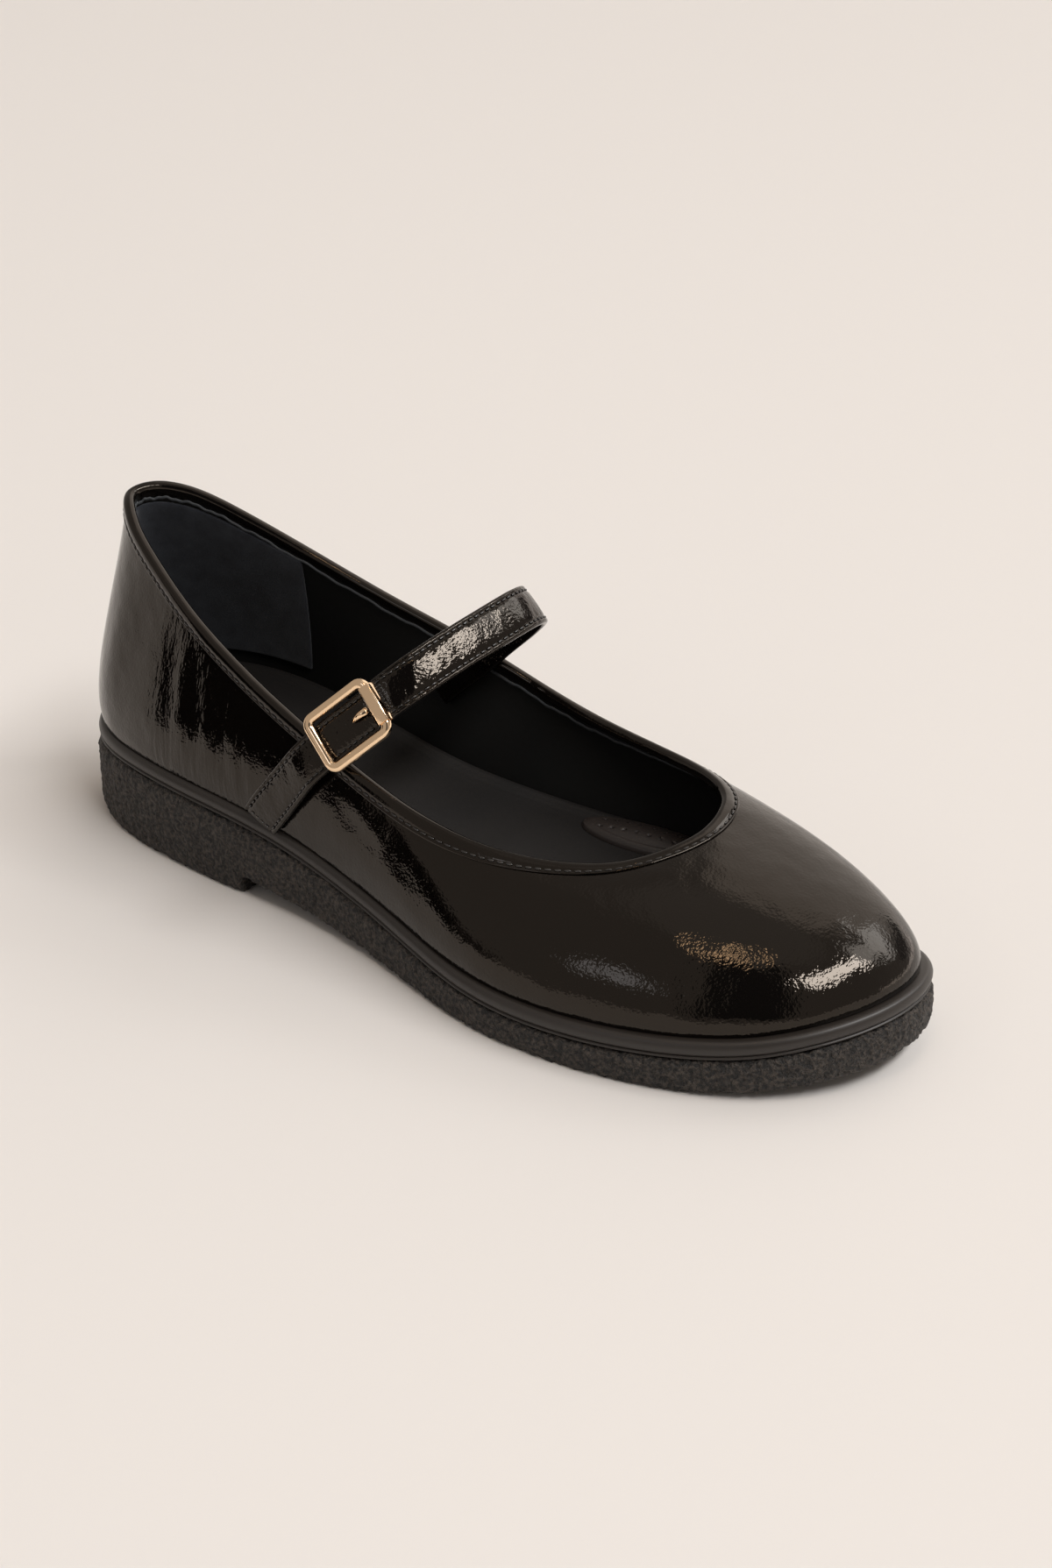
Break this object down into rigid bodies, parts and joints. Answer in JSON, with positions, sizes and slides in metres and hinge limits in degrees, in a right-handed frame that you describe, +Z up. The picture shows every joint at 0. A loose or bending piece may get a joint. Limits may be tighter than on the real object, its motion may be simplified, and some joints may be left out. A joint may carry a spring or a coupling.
{
  "type": "mary jane shoe",
  "caption": "Low round-toed patent leather shoe with an open instep, a buckled strap across it and a textured rubber sole.",
  "frame": {"origin": "middle of the shoe's footprint, on the floor it stands on", "axes": "+X towards the toe, -Y the outer side of the right foot where the buckle is, +Z up"},
  "size_m": [0.2662, 0.0932, 0.0924],
  "materials": {
    "crepe_rubber": "pebbled, matt",
    "smooth_rubber": "smooth, satin",
    "patent_leather": "glossy patent",
    "insole_leather": "grained, satin",
    "buckle_metal": "polished pale gold"
  },
  "bodies": {
    "root": {"outsole": "crepe_rubber", "midsole_band": "smooth_rubber", "upper": "patent_leather", "insole": "insole_leather", "strap_end": "patent_leather", "strap_instep": "patent_leather", "buckle_frame": "buckle_metal", "buckle_clip": "buckle_metal", "buckle_prong": "buckle_metal"}
  },
  "joints": []
}
